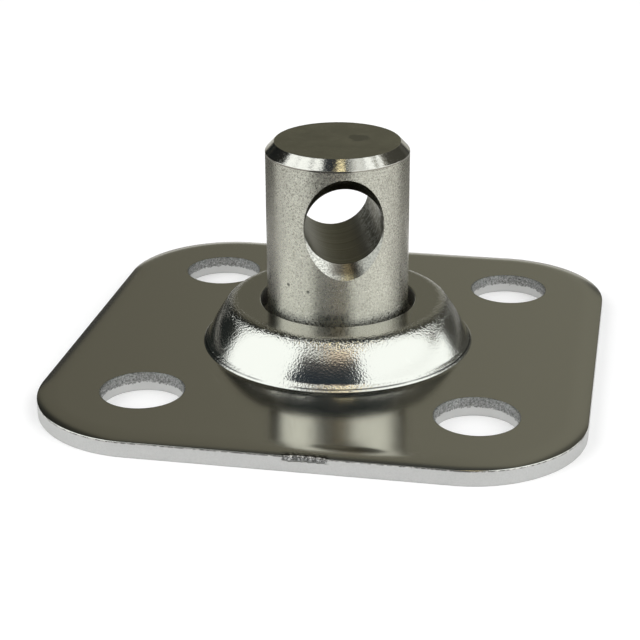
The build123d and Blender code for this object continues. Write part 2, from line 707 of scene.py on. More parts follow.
@dataclass(frozen=True)
class ShearedEdge:
    """The blank's edge: rolled over and polished above, sheared pale and dull below."""

    colour: Colour = (0.55, 0.55, 0.54)
    roughness: float = 0.45
    polished: Colour = POLISHED
    boundary: float = 1.2
    ragged: float = 0.05
    lip: float = 1.23
    tear_at: float = 1.55
    tear_width: float = 3.7
    tear_floor: float = 0.9
    front: float = -21.8

    def dress(self, w: Steel) -> None:
        """A ragged border with a painted dark line of shade along the seam, painted shade at the deck
        where the edge meets the floor, and dark crumbs in the torn mark.

        Args:
            w: The material to work up.
        """
        x, y, height = w.apart(w.place)
        tears = w.effect(grain, Size=0.45, Contrast=1.6)
        shift = w.times(w.minus(tears, 0.5), 2 * self.ragged)
        above = w.span(w.minus(w.plus(height, shift), self.boundary), -0.02, 0.02)
        speckle = w.effect(grain, Size=0.12, Contrast=1.4)
        w.wear("Roughness", w.between(above, w.span(speckle, 0.25, 0.75, 0.38, 0.6), 0.16))
        w.wear("Normal", w.bump(w.times(speckle, w.minus(1.0, above)), 0.006))

        # Painted shade: the edge grows darker towards the floor, standing in for the shade where it
        # meets the floor.
        worn = w.blend(w.span(height, 0.0, 0.12, 0.55, 0.0), self.colour, (0.3, 0.3, 0.3))
        bare = w.blend(above, worn, self.polished)
        # Painted shade: a thin dark line along the seam where the polished roll ends on the sheared
        # face.
        near_seam_shade = w.span(w.off(height, self.lip), 0.02, 0.07, 0.85, 0.0)
        seam_shaded = w.blend(w.times(near_seam_shade, w.span(tears, 0.3, 0.6)), bare, SHADOW)
        half = self.tear_width / 2
        ends = w.span(w.off(x, self.tear_at), half - 0.2, half, 1.0, 0.0)
        front = w.span(y, self.front, self.front + 0.4, 1.0, 0.0)
        crumbs = w.span(w.effect(grain, Size=0.18, Contrast=3.0), 0.25, 0.6)
        dark = w.times(w.span(height, self.tear_floor, self.tear_floor + 0.1), crumbs)
        torn = w.times(ends, front, dark, 0.85)
        w.wear("Base Color", w.blend(torn, seam_shaded, (0.07, 0.07, 0.065)))


@dataclass(frozen=True)
class PiercedWall:
    """A punched hole's wall: smooth where the punch rubbed, mottled where the metal tore."""

    colour: Colour = (0.60, 0.60, 0.59)
    roughness: float = 0.5
    torn: Colour = (0.08, 0.08, 0.075)
    boundary: float = 0.75

    def dress(self, w: Steel) -> None:
        """Mottled and rough above a ragged border, plain below it, and with painted shade at the deck
        where the wall meets the floor.

        Args:
            w: The material to work up.
        """
        height = w.apart(w.place)[2]
        tears = w.effect(grain, Size=0.4, Contrast=2.4)
        shift = w.times(w.minus(tears, 0.5), 0.36)
        above = w.span(w.minus(w.plus(height, shift), self.boundary), -0.03, 0.03)
        speckle = w.effect(grain, Size=0.16, Contrast=2.4)
        pale = w.blend(speckle, self.torn, self.colour)
        # Painted shade: the wall grows darker towards the floor, standing in for the shade where it
        # meets the floor.
        low = w.blend(w.span(height, 0.0, 0.1, 0.7, 0.0), self.colour, (0.2, 0.2, 0.2))
        w.wear("Base Color", w.blend(above, low, pale))
        w.wear("Roughness", w.between(above, 0.42, 0.6))
        w.wear("Normal", w.bump(w.times(speckle, w.between(above, 0.1, 1.0)), 0.02))


@dataclass(frozen=True)
class TumbledTurning:
    """Bar stock turned on a lathe and then tumbled: fine rings under a dense speckle."""

    colour: Colour = (0.74, 0.715, 0.635)
    roughness: float = 0.3
    stretch: float = 0.93
    dents: tuple[Colour, ...] = ((-3.2, -5.08, 8.08), (-1.39, -5.84, 7.82))
    nick_at: Colour = (1.36, -5.84, 8.2)

    def dress(self, w: Steel) -> None:
        """Rings, speckle, small pits, two dents and a bright nick, with a shine drawn round.

        Args:
            w: The material to work up.
        """
        rings = w.effect(lathe_marks, Along=w.apart(w.place)[2], Pitch=0.11)
        speckle = w.effect(grain, Size=0.15, Contrast=3.4)
        pitted = w.effect(pits, Spacing=2.3, Size=0.13, Share=0.16)
        for dent in self.dents:
            pitted = w.math("MAXIMUM", pitted, w.span(w.away_from(dent), 0.09, 0.17, 1.0, 0.0))
        tumbled = w.bump(speckle, 0.005, w.bump(rings, 0.012))
        w.wear("Normal", w.bump(w.minus(1.0, pitted), 0.05, tumbled))
        w.wear("Roughness", w.span(speckle, 0.2, 0.8, self.roughness - 0.06, self.roughness + 0.08))

        tone = w.toned(speckle, self.colour, 0.66, 1.26)
        lined = w.blend(w.span(rings, 0.2, 0.9, 0.22, 0.0), tone, (0.2, 0.19, 0.16))
        dark = w.blend(w.times(pitted, 0.8), lined, (0.1, 0.1, 0.09))
        nick = w.span(w.away_from(self.nick_at), 0.07, 0.13, 1.0, 0.0)
        w.wear("Base Color", w.blend(nick, dark, (1.0, 1.0, 0.98)))
        w.wear("Anisotropic", self.stretch)
        w.wear("Anisotropic Rotation", 0.25)
        w.wear("Tangent", w.node("Tangent", direction_type="RADIAL", axis="Z").outputs[0])


@dataclass(frozen=True)
class BrightCut:
    """A chamfer: a fresh bright cut, faintly speckled and dotted."""

    colour: Colour = (0.655, 0.63, 0.58)
    roughness: float = 0.12

    def dress(self, w: Steel) -> None:
        """Faint speckle and small dots.

        Args:
            w: The material to work up.
        """
        speckle = w.effect(grain, Size=0.22, Contrast=1.8)
        dots = w.effect(pits, Spacing=1.1, Size=0.12, Share=0.2)
        w.wear("Roughness", w.span(speckle, 0.3, 0.8, self.roughness - 0.04, self.roughness + 0.06))
        w.wear("Normal", w.bump(w.minus(1.0, dots), 0.015, w.bump(speckle, 0.0035)))


@dataclass(frozen=True)
class Countersink:
    """The sunk mouth of the bore: cut with a chattering tool, mottled and rubbed."""

    colour: Colour = (0.60, 0.58, 0.53)
    roughness: float = 0.2
    turn: float = 16.4
    bore_z: float = 13.25

    def dress(self, w: Steel) -> None:
        """Mottled, with painted shade on one side, and painted shade where it meets the bore below
        and above.

        Args:
            w: The material to work up.
        """
        speckle = w.effect(grain, Size=0.15, Contrast=3.0)
        w.wear("Normal", w.bump(speckle, 0.0045))
        tone = w.toned(w.span(speckle, 0.25, 0.7), self.colour, 0.62, 1.12)
        x, _, z = w.apart(w.millimetres(-math.radians(self.turn)))
        # Painted shade: one side of the countersink is darkened, standing in for the darker
        # reflection on that side.
        shaded_side = w.span(w.plus(x, w.times(speckle, 1.4)), 0.4, 1.6, 0.0, 0.5)
        mottled = w.blend(shaded_side, tone, (0.12, 0.12, 0.1))
        # Painted shade: darker at the top and bottom of the countersink, where it falls away into the
        # bore.
        close = w.span(w.length(x, w.minus(z, self.bore_z)), 3.7, 4.15, 1.0, 0.0)
        middle = w.span(w.math("ABSOLUTE", x), 0.5, 1.7, 0.8, 0.0)
        w.wear("Base Color", w.blend(w.times(close, middle), mottled, (0.12, 0.1, 0.08)))


@dataclass(frozen=True)
class FacedTop:
    """The end of the post: faced on the lathe, with smudges and a stain."""

    colour: Colour = (0.39, 0.38, 0.31)
    roughness: float = 0.13
    stain_at: Colour = (1.64, 0.9, 19.05)

    def dress(self, w: Steel) -> None:
        """Rings about the middle, cloudy smudges, and a stain with a wavering border.

        Args:
            w: The material to work up.
        """
        x, y, _ = w.apart(w.place)
        rings = w.effect(lathe_marks, Along=w.length(x, y), Pitch=0.14)
        smudge = w.effect(grain, Size=2.2, Contrast=2.6)
        w.wear("Normal", w.bump(rings, 0.003))
        w.wear("Roughness", w.span(smudge, 0.2, 0.8, self.roughness - 0.03, self.roughness + 0.08))
        reach = w.plus(w.away_from(self.stain_at), w.times(w.noise(w.place, 1.1), 0.9))
        tone = w.toned(smudge, self.colour, 0.84, 1.12)
        w.wear("Base Color", w.blend(w.span(reach, 1.15, 1.5, 0.55, 0.0), tone, STAIN_AND_SHADE))


@dataclass(frozen=True)
class DrilledBore:
    """The wall of the cross bore: dark, with the drill's rings round it."""

    colour: Colour = (0.14, 0.132, 0.095)
    worn: Colour = (0.62, 0.62, 0.58)
    roughness: float = 0.3
    turn: float = 16.4

    def dress(self, w: Steel) -> None:
        """Uneven rings along the bore, and pale rubbed spots on one side.

        Args:
            w: The material to work up.
        """
        w.place = w.millimetres(-math.radians(self.turn))
        x, y, _ = w.apart(w.place)
        rings = w.effect(lathe_marks, Along=y, Pitch=0.42)
        speckle = w.effect(grain, Size=0.2, Contrast=1.8)
        w.wear("Normal", w.bump(speckle, 0.004, w.bump(rings, 0.02)))
        rubs = w.span(w.effect(grain, Size=0.4, Contrast=4.5), 0.35, 0.8)
        tone = w.toned(rings, self.colour, 0.3, 2.6)
        w.wear("Base Color", w.blend(w.times(w.span(x, 1.9, 2.7), rubs), tone, self.worn))


@dataclass
class BasePlate:
    """The pressed sheet: a square with round corners, a dome with a round mouth, four holes."""

    side: float = 44.0
    corner_r: float = 9.45
    sheet: float = 1.6
    droop_r: float = 6.6
    droop_lean: float = 16.5
    lip_r: float = 0.09
    burr: float = 0.08
    rise: float = 3.65
    flare_r: float = 11.02
    flare_z: float = 2.1
    flare_fillet: float = 0.9
    foot_lean: float = 24.0
    shoulder_lean: float = 38.0
    bow_at: float = 3.67
    bow_r: float = 11.8
    shoulder_r: float = 1.12
    foot_r: float = 11.43
    foot_fillet: float = 0.08
    hollow_r: float = 8.225
    hollow_foot_r: float = 10.45
    hollow_corner: float = 0.25
    hollow_fillet: float = 2.25
    skirt_r: float = 12.12
    mouth_r: float = 6.5
    mouth_edge: float = 0.2
    hole_r: float = 3.3
    hole_top_r: float = 3.42
    hole_edge: float = 0.12
    hole_at: float = 13.4
    burnish: float = 0.75
    dent: float = 0.022
    tear_at: float = 1.55
    tear_width: float = 3.7
    tear_depth: float = 0.16
    tear_floor: float = 0.9
    tear_margin: float = 0.15
    arc_steps: int = 72
    hole_steps: int = 1440
    flat_rows: int = 8

    @property
    def roll(self) -> float:
        """Width of the drooping margin that the blanking tool leaves."""
        return (self.droop_r - self.lip_r) * math.sin(math.radians(self.droop_lean)) + self.lip_r

    def _dome(self) -> list[Patch]:
        """Upper and lower skin of the drawn sheet, and the wall of its mouth.

        The flank bows outwards: it leans more under the shoulder than lower down, and flares
        again just over the flat.

        Returns:
            The patches.
        """
        top = self.sheet + self.rise
        bow = self.flare_r - (self.bow_at - self.flare_z) * math.tan(math.radians(self.foot_lean))
        fall = (top - self.bow_at) * math.tan(math.radians(self.shoulder_lean))
        upper = Section.through(
            [
                (self.mouth_r, self.rise, 0.0),
                (self.mouth_r, top, self.mouth_edge),
                (bow - fall, top, self.shoulder_r),
                (bow, self.bow_at, self.bow_r),
                (self.flare_r, self.flare_z, self.flare_fillet),
                (self.foot_r, self.sheet, self.foot_fillet),
                (self.skirt_r, self.sheet, 0.0),
            ],
            side=1,
            run=0.35,
            bend=3.0,
        )
        lower = Section.through(
            [
                (self.mouth_r, self.rise, 0.0),
                (self.hollow_r, self.rise, self.hollow_corner),
                (self.hollow_foot_r, 0.0, self.hollow_fillet),
                (self.skirt_r, 0.0, 0.0),
            ],
            side=-1,
            run=0.7,
        )
        angle = np.linspace(0.0, 2 * np.pi, 4 * self.arc_steps + 1)
        spokes = columns(np.cos(angle), np.sin(angle), 0.0)
        wall = int(np.argmax(upper.normals[:, 1] > 0.7))
        return [
            Patch.revolved(upper.part(None, wall + 1), spokes, Finish.HOLE),
            Patch.revolved(upper.part(wall, None), spokes, Finish.SHEET),
            Patch.revolved(lower, spokes, Finish.SHEET),
        ]

    def _runs(self, quarter: int) -> tuple[Array, Array]:
        """Stations along the two straight edges of a quarter, close together at the tear.

        Args:
            quarter: Which quarter.

        Returns:
            The stations of each edge.
        """
        end = self.side / 2 - self.corner_r
        plain = np.linspace(0.0, end, 27)
        reach = self.tear_width / 2 + self.tear_at + self.tear_margin
        back = self.tear_width / 2 - self.tear_at + self.tear_margin
        near = np.concatenate([np.linspace(0.0, reach, 110)[:-1], np.linspace(reach, end, 20)])
        far = np.concatenate([np.linspace(0.0, back, 16)[:-1], np.linspace(back, end, 26)])
        first = near if quarter == 3 else plain
        second = far if quarter == 2 else plain
        return first, second[::-1]

    def _outline(self, inset: float, quarter: int) -> tuple[Array, Array]:
        """A quarter of the plate's outline, as if it were the one with x and y above 0.

        Two straight edges and between them an arc about the middle of the corner.

        Args:
            inset: How far inside the blank's edge it runs.
            quarter: Which quarter's stations it has.

        Returns:
            The points and the outward directions, each stations x 2.
        """
        first, second = self._runs(quarter)
        middle = self.side / 2 - self.corner_r
        edge = self.side / 2 - inset
        across = circle(np.linspace(0.0, np.pi / 2, 49)[1:-1])
        corner = middle + (self.corner_r - inset) * across
        points = np.concatenate([columns(edge, first), corner, columns(second, edge)])
        outward = np.concatenate([columns(1.0, 0 * first), across, columns(0 * second, 1.0)])
        return points, outward

    def _fence(self, inset: float, quarter: int) -> Array:
        """The closed line round a quarter's flat: axis, outline, axis, and the dome's skirt.

        Args:
            inset: How far inside the blank's edge the outline runs.
            quarter: Which quarter.

        Returns:
            Points x 2, the last one equal to the first.
        """
        outline, _ = self._outline(inset, quarter)
        gap = np.linspace(self.skirt_r, self.side / 2 - inset, 12)[:-1]
        arc = self.skirt_r * circle(np.linspace(np.pi / 2, 0.0, self.arc_steps + 1))
        return np.concatenate([columns(gap, 0.0), outline, columns(0.0, gap)[:0:-1], arc])

    @staticmethod
    def _turned(points: Array, quarter: int) -> Array:
        """Points x, y, z turned about +Z by whole quarters."""
        turn = np.linalg.matrix_power(np.array([[0, -1, 0], [1, 0, 0], [0, 0, 1]]), quarter)
        return points @ turn.T

    def _rays(self, quarter: int) -> Array:
        """Directions from a hole's middle to each point of the fence round it."""
        return unit(self._fence(self.roll, quarter) - self.hole_at)

    def _flat(self, quarter: int, inset: float, rim: float, height: float, up: float) -> Patch:
        """The flat of a quarter: straight lines from a hole's rim to the fence round it.

        Args:
            quarter: Which quarter.
            inset: How far inside the blank's edge it ends.
            rim: Radius of the hole's rim.
            height: Its z.
            up: 1 for the upper skin, -1 for the lower.

        Returns:
            The patch.
        """
        inner = self.hole_at + rim * self._rays(quarter)
        share = (np.linspace(0.0, 1.0, self.flat_rows) ** 1.3)[:, None, None]
        level = inner + (self._fence(inset, quarter) - inner) * share
        points = columns(level[..., 0], level[..., 1], height)
        return Patch.facing(self._turned(points, quarter), up * UP, Finish.SHEET)

    def _hole(self, quarter: int) -> list[Patch]:
        """A screw hole's wall: a small roll above, torn metal, and a smooth lower part.

        The torn part is a cone with random dents, up to a border that runs unevenly round it.

        Args:
            quarter: Which quarter the hole is in.

        Returns:
            The patches.
        """
        rays = self._rays(quarter)
        around = np.arctan2(rays[:, 1], rays[:, 0]) / (2 * np.pi)
        column = (around % 1.0 * self.hole_steps).astype(int) % self.hole_steps
        column[-1] = column[0]
        wall = self.hole_top_r - self.hole_edge
        top = self.sheet - self.hole_edge

        bend = circle(np.radians(np.linspace(90.0, 180.0, 8)))
        curl = Section(np.array([self.hole_top_r, top]) + self.hole_edge * bend, bend)
        spokes = columns(rays[:, 0], rays[:, 1], 0.0)

        wave = uneven(1, self.hole_steps, (1.0, 60.0), 11 + quarter)[0][column]
        border = self.burnish + 0.05 * wave
        down = np.linspace(0.0, 1.0, 19)[:, None]
        height = top + (border - top) * down
        dents = uneven(19, self.hole_steps, (2.6, 30.0), 21 + quarter)[:, column]
        held = smooth_step(np.minimum(down, 1.0 - down) * 6.0)
        radius = wall + (self.hole_r - wall) * down + self.dent * dents * held
        torn = radius[..., None] * spokes + height[..., None] * UP
        foot = self.burr
        smooth = self.hole_r * spokes + (border + (foot - border) * ENDS)[..., None] * UP
        drop = circle(np.radians(np.linspace(0.0, 90.0, 5)))[:, None]
        cos, sin = drop[..., :1], drop[..., 1:]
        eased = (self.hole_r + foot * (1.0 - cos)) * spokes + foot * (1.0 - sin) * UP
        made = [
            Patch.revolved(curl, spokes, Finish.HOLE),
            Patch.worked(torn, -spokes, Finish.HOLE),
            Patch.facing(smooth, -spokes, Finish.HOLE),
            Patch(eased, -cos * spokes - sin * UP, Finish.HOLE),
        ]
        middle = np.array([self.hole_at, self.hole_at, 0.0])
        for patch in made:
            patch.points = self._turned(patch.points + middle, quarter)
            patch.normals = self._turned(patch.normals, quarter)
        return made

    def _rim(self) -> list[Patch]:
        """The blank's edge all round, with the torn hollow in its front.

        Across, it is a wide shallow arc, a tight one, a wall, and a small round at the deck. The
        hollow cuts the arcs short, as deep as a circle through its two ends and its deepest point.

        Returns:
            The patches.
        """
        stations: list[Array] = []
        outward: list[Array] = []
        for quarter in range(4):
            for line, kept in zip(self._outline(self.roll, quarter), (stations, outward)):
                kept.append(self._turned(columns(line[:, 0], line[:, 1], 0.0), quarter)[:-1])
        base = np.concatenate([*stations, stations[0][:1]])
        away = np.concatenate([*outward, outward[0][:1]])

        def strip(out: Array, height: Array) -> Array:
            """Points that lie a distance out from each station, at a height."""
            return base + out[..., None] * away + height[..., None] * UP

        big = self.tear_width**2 / (8 * self.tear_depth) + self.tear_depth / 2
        across = np.abs(base[:, 0] - self.tear_at)
        bow = np.sqrt(np.maximum(big**2 - across**2, 0.0)) - big + self.tear_depth
        front = away[:, 1] < -0.999
        depth = np.where(front & (across < self.tear_width / 2), bow, 0.0)
        torn = smooth_step(depth / 0.05)
        chips = uneven(9, len(base), (2.0, 3.5), 5) * torn
        floor = self.tear_floor + 0.035 * uneven(1, len(base), (1.0, 6.0), 6)[0] * torn

        knee = math.radians(self.droop_lean)
        spare = self.droop_r - self.lip_r
        reach = self.roll - depth
        shallow = np.arcsin(np.clip(reach / self.droop_r, 0.0, 1.0))
        tight = np.arcsin(np.clip((reach - spare * math.sin(knee)) / self.lip_r, -1.0, 1.0))
        end = np.where(reach < self.droop_r * math.sin(knee), shallow, tight)
        bend = end * np.linspace(0.0, 1.0, 22)[:, None]
        wide = bend < knee
        size = np.where(wide, self.droop_r, self.lip_r)
        out = size * np.sin(bend) + np.where(wide, 0.0, spare * math.sin(knee))
        drop = size * np.cos(bend) + np.where(wide, 0.0, spare * math.cos(knee))
        rise = self.sheet - self.droop_r + drop
        lean = np.sin(bend)[..., None] * away + np.cos(bend)[..., None] * UP

        down = np.linspace(0.0, 1.0, 9)[:, None]
        held = smooth_step(np.minimum(down, 1.0 - down) * 4.0)
        face = strip(out[-1] + 0.02 * chips * held, rise[-1] + (floor - rise[-1]) * down)
        ledge = strip(out[-1] + (self.roll - out[-1]) * ENDS, floor + 0 * ENDS)
        low = strip(self.roll + 0 * ENDS, floor + (self.burr - floor) * ENDS)
        under = np.radians(np.linspace(0.0, 90.0, 5))[:, None] + 0 * floor
        cos, sin = np.cos(under), np.sin(under)
        eased = strip(self.roll - self.burr * (1.0 - cos), self.burr * (1.0 - sin))
        return [
            Patch(strip(out, rise), lean, Finish.EDGE),
            Patch.worked(face, away, Finish.EDGE),
            Patch.facing(ledge, unit(away * 0.3 + UP), Finish.EDGE),
            Patch.facing(low, away, Finish.EDGE),
            Patch(eased, cos[..., None] * away - sin[..., None] * UP, Finish.EDGE),
        ]

    def build(self, finishes: dict[Finish, bpy.types.Material]) -> bpy.types.Object:
        """Builds the plate and puts it in its node's place.

        Args:
            finishes: The material for each finish.

        Returns:
            The piece.
        """
        patches = self._dome() + self._rim()
        for quarter in range(4):
            patches.append(self._flat(quarter, self.roll, self.hole_top_r, self.sheet, 1.0))
            patches.append(self._flat(quarter, self.burr, self.hole_r + self.burr, 0.0, -1.0))
            patches += self._hole(quarter)
        piece = Shell("pressed_plate", patches).build(finishes)
        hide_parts("base_plate")
        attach(piece, "base")
        return piece


@dataclass
class SwivelPost:
    """The turned post: a chamfered bar with a sunk cross bore, and the head inside the dome."""

    radius: float = 5.95
    top: float = 19.05
    chamfer_down: float = 0.8
    chamfer_in: float = 0.75
    turn: float = 16.4
    bore_r: float = 3.2
    bore_z: float = 13.25
    sink_from: float = 4.9
    head_r: float = 7.925
    head_top: float = 3.35
    head_foot: float = 0.2
    head_chamfer: float = 0.4
    head_fillet: float = 0.2
    side_from: float = 3.9
    side_to: float = 18.1
    half_steps: int = 144
    up_steps: int = 72

    def _axes(self, mouth: int) -> tuple[Array, Array]:
        """The direction across the bore and the one out of its mouth, both level."""
        across, outward = circle(math.radians(self.turn) - np.array([0.0, np.pi / 2]))
        return mouth * np.append(across, 0.0), mouth * np.append(outward, 0.0)

    def _around(self, angle: Array, mouth: int = 1) -> Array:
        """Unit vectors away from the post's axis, at angles from the bore's mouth."""
        across, outward = self._axes(mouth)
        return np.sin(angle)[..., None] * across + np.cos(angle)[..., None] * outward

    def _ends(self) -> list[Patch]:
        """The top, its chamfer, and all that is below the bored part, turned about +Z.

        Returns:
            The patches.
        """
        spokes = self._around(np.linspace(-np.pi / 2, 1.5 * np.pi, 2 * self.half_steps + 1))
        upper = Section.through(
            [
                (0.0, self.top, 0.0),
                (self.radius - self.chamfer_in, self.top, 0.05),
                (self.radius, self.top - self.chamfer_down, 0.06),
                (self.radius, self.side_to, 0.0),
            ],
            side=1,
            run=0.25,
        )
        rows = upper.flat_rows()
        lower = Section.through(
            [
                (self.radius, self.side_from, 0.0),
                (self.radius, self.head_top, self.head_fillet),
                (self.head_r - self.head_chamfer, self.head_top, 0.0),
                (self.head_r, self.head_top - self.head_chamfer, 0.0),
                (self.head_r, self.head_foot + self.head_chamfer, 0.0),
                (self.head_r - self.head_chamfer, self.head_foot, 0.0),
                (0.0, self.head_foot, 0.0),
            ],
            side=1,
        )
        return [
            Patch.revolved(upper.part(None, rows), spokes, Finish.FACE),
            Patch.revolved(upper.part(rows - 1, None), spokes, Finish.CUT),
            Patch.revolved(lower, spokes, Finish.TURNED),
        ]

    def _fence(self) -> Array:
        """The closed line round half of the bored part, on the unrolled bar.

        Returns:
            Points x 2: the angle from the mouth, and z.
        """
        level = np.linspace(-np.pi / 2, np.pi / 2, self.half_steps + 1)
        rise = np.linspace(self.side_from, self.side_to, self.up_steps + 1)
        foot, near = columns(level, self.side_from)[:-1], columns(np.pi / 2, rise)[:-1]
        head, far = columns(level[::-1], self.side_to)[:-1], columns(-np.pi / 2, rise[::-1])
        return np.concatenate([foot, near, head, far])

    def _mouth(self, mouth: int) -> list[Patch]:
        """Half of the bored side, the countersink in it, and the bore as far as its middle.

        The countersink widens one for one with the way out, so its rim on the bar lies where
        rho + (sink_from - bore_r) = sqrt(radius^2 - (rho cos a)^2), a quadratic in rho. The side
        is drawn on the unrolled bar, in straight lines from that rim to the fence round it.

        Args:
            mouth: 1 for the mouth at the front, -1 for the one at the back.

        Returns:
            The patches.
        """
        fence = self._fence()
        spin = np.arctan2(fence[:, 1] - self.bore_z, self.radius * fence[:, 0])
        lag = self.sink_from - self.bore_r
        square = 1.0 + np.cos(spin) ** 2
        reach = (np.sqrt(lag**2 + square * (self.radius**2 - lag**2)) - lag) / square
        turned = np.arcsin(reach * np.cos(spin) / self.radius)
        rim = columns(turned, self.bore_z + reach * np.sin(spin))
        share = (np.linspace(0.0, 1.0, 34) ** 1.4)[:, None, None]
        unrolled = rim + (fence - rim) * share
        away = self._around(unrolled[..., 0], mouth)
        side = self.radius * away + unrolled[..., 1:] * UP

        across, outward = self._axes(mouth)
        ring = np.cos(spin)[:, None] * across + np.sin(spin)[:, None] * UP
        width = reach + (self.bore_r - reach) * np.linspace(0.0, 1.0, 9)[:, None]
        sink = width[..., None] * ring + (width + lag)[..., None] * outward + self.bore_z * UP
        along = np.linspace(self.sink_from, 0.0, 13)[:, None, None]
        bore = self.bore_r * ring + along * outward + self.bore_z * UP
        return [
            Patch(side, away, Finish.TURNED),
            Patch.facing(sink, unit(outward - ring), Finish.SINK),
            Patch.facing(bore, -ring, Finish.BORE),
        ]

    def build(self, finishes: dict[Finish, bpy.types.Material]) -> bpy.types.Object:
        """Builds the post and puts it in its node's place.

        Args:
            finishes: The material for each finish.

        Returns:
            The piece.
        """
        patches = self._ends() + self._mouth(1) + self._mouth(-1)
        piece = Shell("turned_post", patches).build(finishes)
        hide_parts("swivel_post")
        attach(piece, "post")
        return piece


@dataclass(frozen=True)
class Zone:
    """A stretch of the surroundings with soft borders.

    Its azimuths count from the camera's own, and its elevations from level, in degrees. Its
    colour goes from low to high up its height.
    """

    turn: tuple[float, float]
    lift: tuple[float, float]
    low: Colour
    high: Colour
    soft: tuple[float, float] = (5.0, 4.0)


@dataclass(frozen=True)
class Backdrop:
    """Something large that only the metal sees: a curved wall or a mat on the floor."""

    name: str
    zones: tuple[Zone, ...]
    reach: tuple[float, float]
    lift: tuple[float, float] = (0.0, 0.0)
    height: float = 0.0
    left: Colour = (0.135, 0.13, 0.10)
    right: Colour = (0.215, 0.212, 0.168)

    def build(self, turn: float) -> bpy.types.Object:
        """Builds the backdrop.

        A point is a radius times the direction at an azimuth and an elevation. From the first
        row to the last, the radius runs from one end of reach to the other, and the elevation
        from one end of lift to the other.

        Args:
            turn: The camera's azimuth.

        Returns:
            The backdrop.
        """
        angle = np.radians(np.linspace(-180.0, 180.0, 73))[None, :]
        lift = np.radians(np.linspace(*self.lift, 19))[:, None]
        radius = np.linspace(*self.reach, 19)[:, None]
        level = radius * np.cos(lift)
        rise = radius * np.sin(lift) + self.height
        points = columns(level * np.sin(angle), -level * np.cos(angle), rise)
        made = staged(self.name, points, self._material(turn))
        for ray in ("camera", "diffuse", "transmission", "shadow", "volume_scatter"):
            setattr(made, f"visible_{ray}", False)
        return made

    def _material(self, turn: float) -> bpy.types.Material:
        """A glow in which each zone is painted over those before it.

        A zone's share is the product of a soft step at each of its four borders.

        Args:
            turn: The camera's azimuth.

        Returns:
            The material.
        """
        material = bpy.data.materials.new(self.name)
        w = Wiring(material)
        x, y, z = w.apart(w.millimetres(-math.radians(turn)))
        far = w.length(x, y, z)
        azimuth = w.math("DEGREES", w.math("ARCTAN2", x, w.times(y, -1.0)))
        elevation = w.math("DEGREES", w.math("ARCSINE", w.math("DIVIDE", z, far)))
        colour = w.blend(w.span(w.math("DIVIDE", x, far), -0.35, 0.35), self.left, self.right)
        for zone in self.zones:
            steps: list[Socket] = []
            for value, ends, soft in zip((azimuth, elevation), (zone.turn, zone.lift), zone.soft):
                steps.append(w.span(value, ends[0] - soft / 2, ends[0] + soft / 2))
                steps.append(w.span(value, ends[1] - soft / 2, ends[1] + soft / 2, 1.0, 0.0))
            painted = w.blend(w.span(elevation, *zone.lift), zone.low, zone.high)
            colour = w.blend(w.times(*steps), colour, painted)
        glow = w.node("Emission", {"Color": colour, "Strength": 1.0})
        w.node("OutputMaterial", {"Surface": glow.outputs[0]})
        return material


@dataclass(frozen=True)
class SoftBox:
    """A large white lamp that stands on the floor and faces the fitting.

    The metal doesn't see it: it mirrors the white panels of the surroundings instead.
    """

    name: str
    azimuth: float
    width: float
    height: float
    distance: float
    radiance: float = 1.9

    def build(self) -> bpy.types.Object:
        """Builds the lamp.

        Returns:
            The lamp's object.
        """
        lamp = bpy.data.lights.new(self.name, "AREA")
        lamp.shape = "RECTANGLE"
        lamp.size = self.width * MM
        lamp.size_y = self.height * MM
        lamp.energy = self.radiance * math.pi * lamp.size * lamp.size_y
        made = link(self.name, lamp)
        angle = math.radians(self.azimuth)
        away = Vector((math.sin(angle), -math.cos(angle), 0.0))
        made.location = away * self.distance * MM + Vector((0.0, 0.0, self.height * MM / 2))
        made.rotation_mode = "QUATERNION"
        made.rotation_quaternion = away.to_track_quat("Z", "Y")
        made.visible_camera = False
        made.visible_glossy = False
        return made


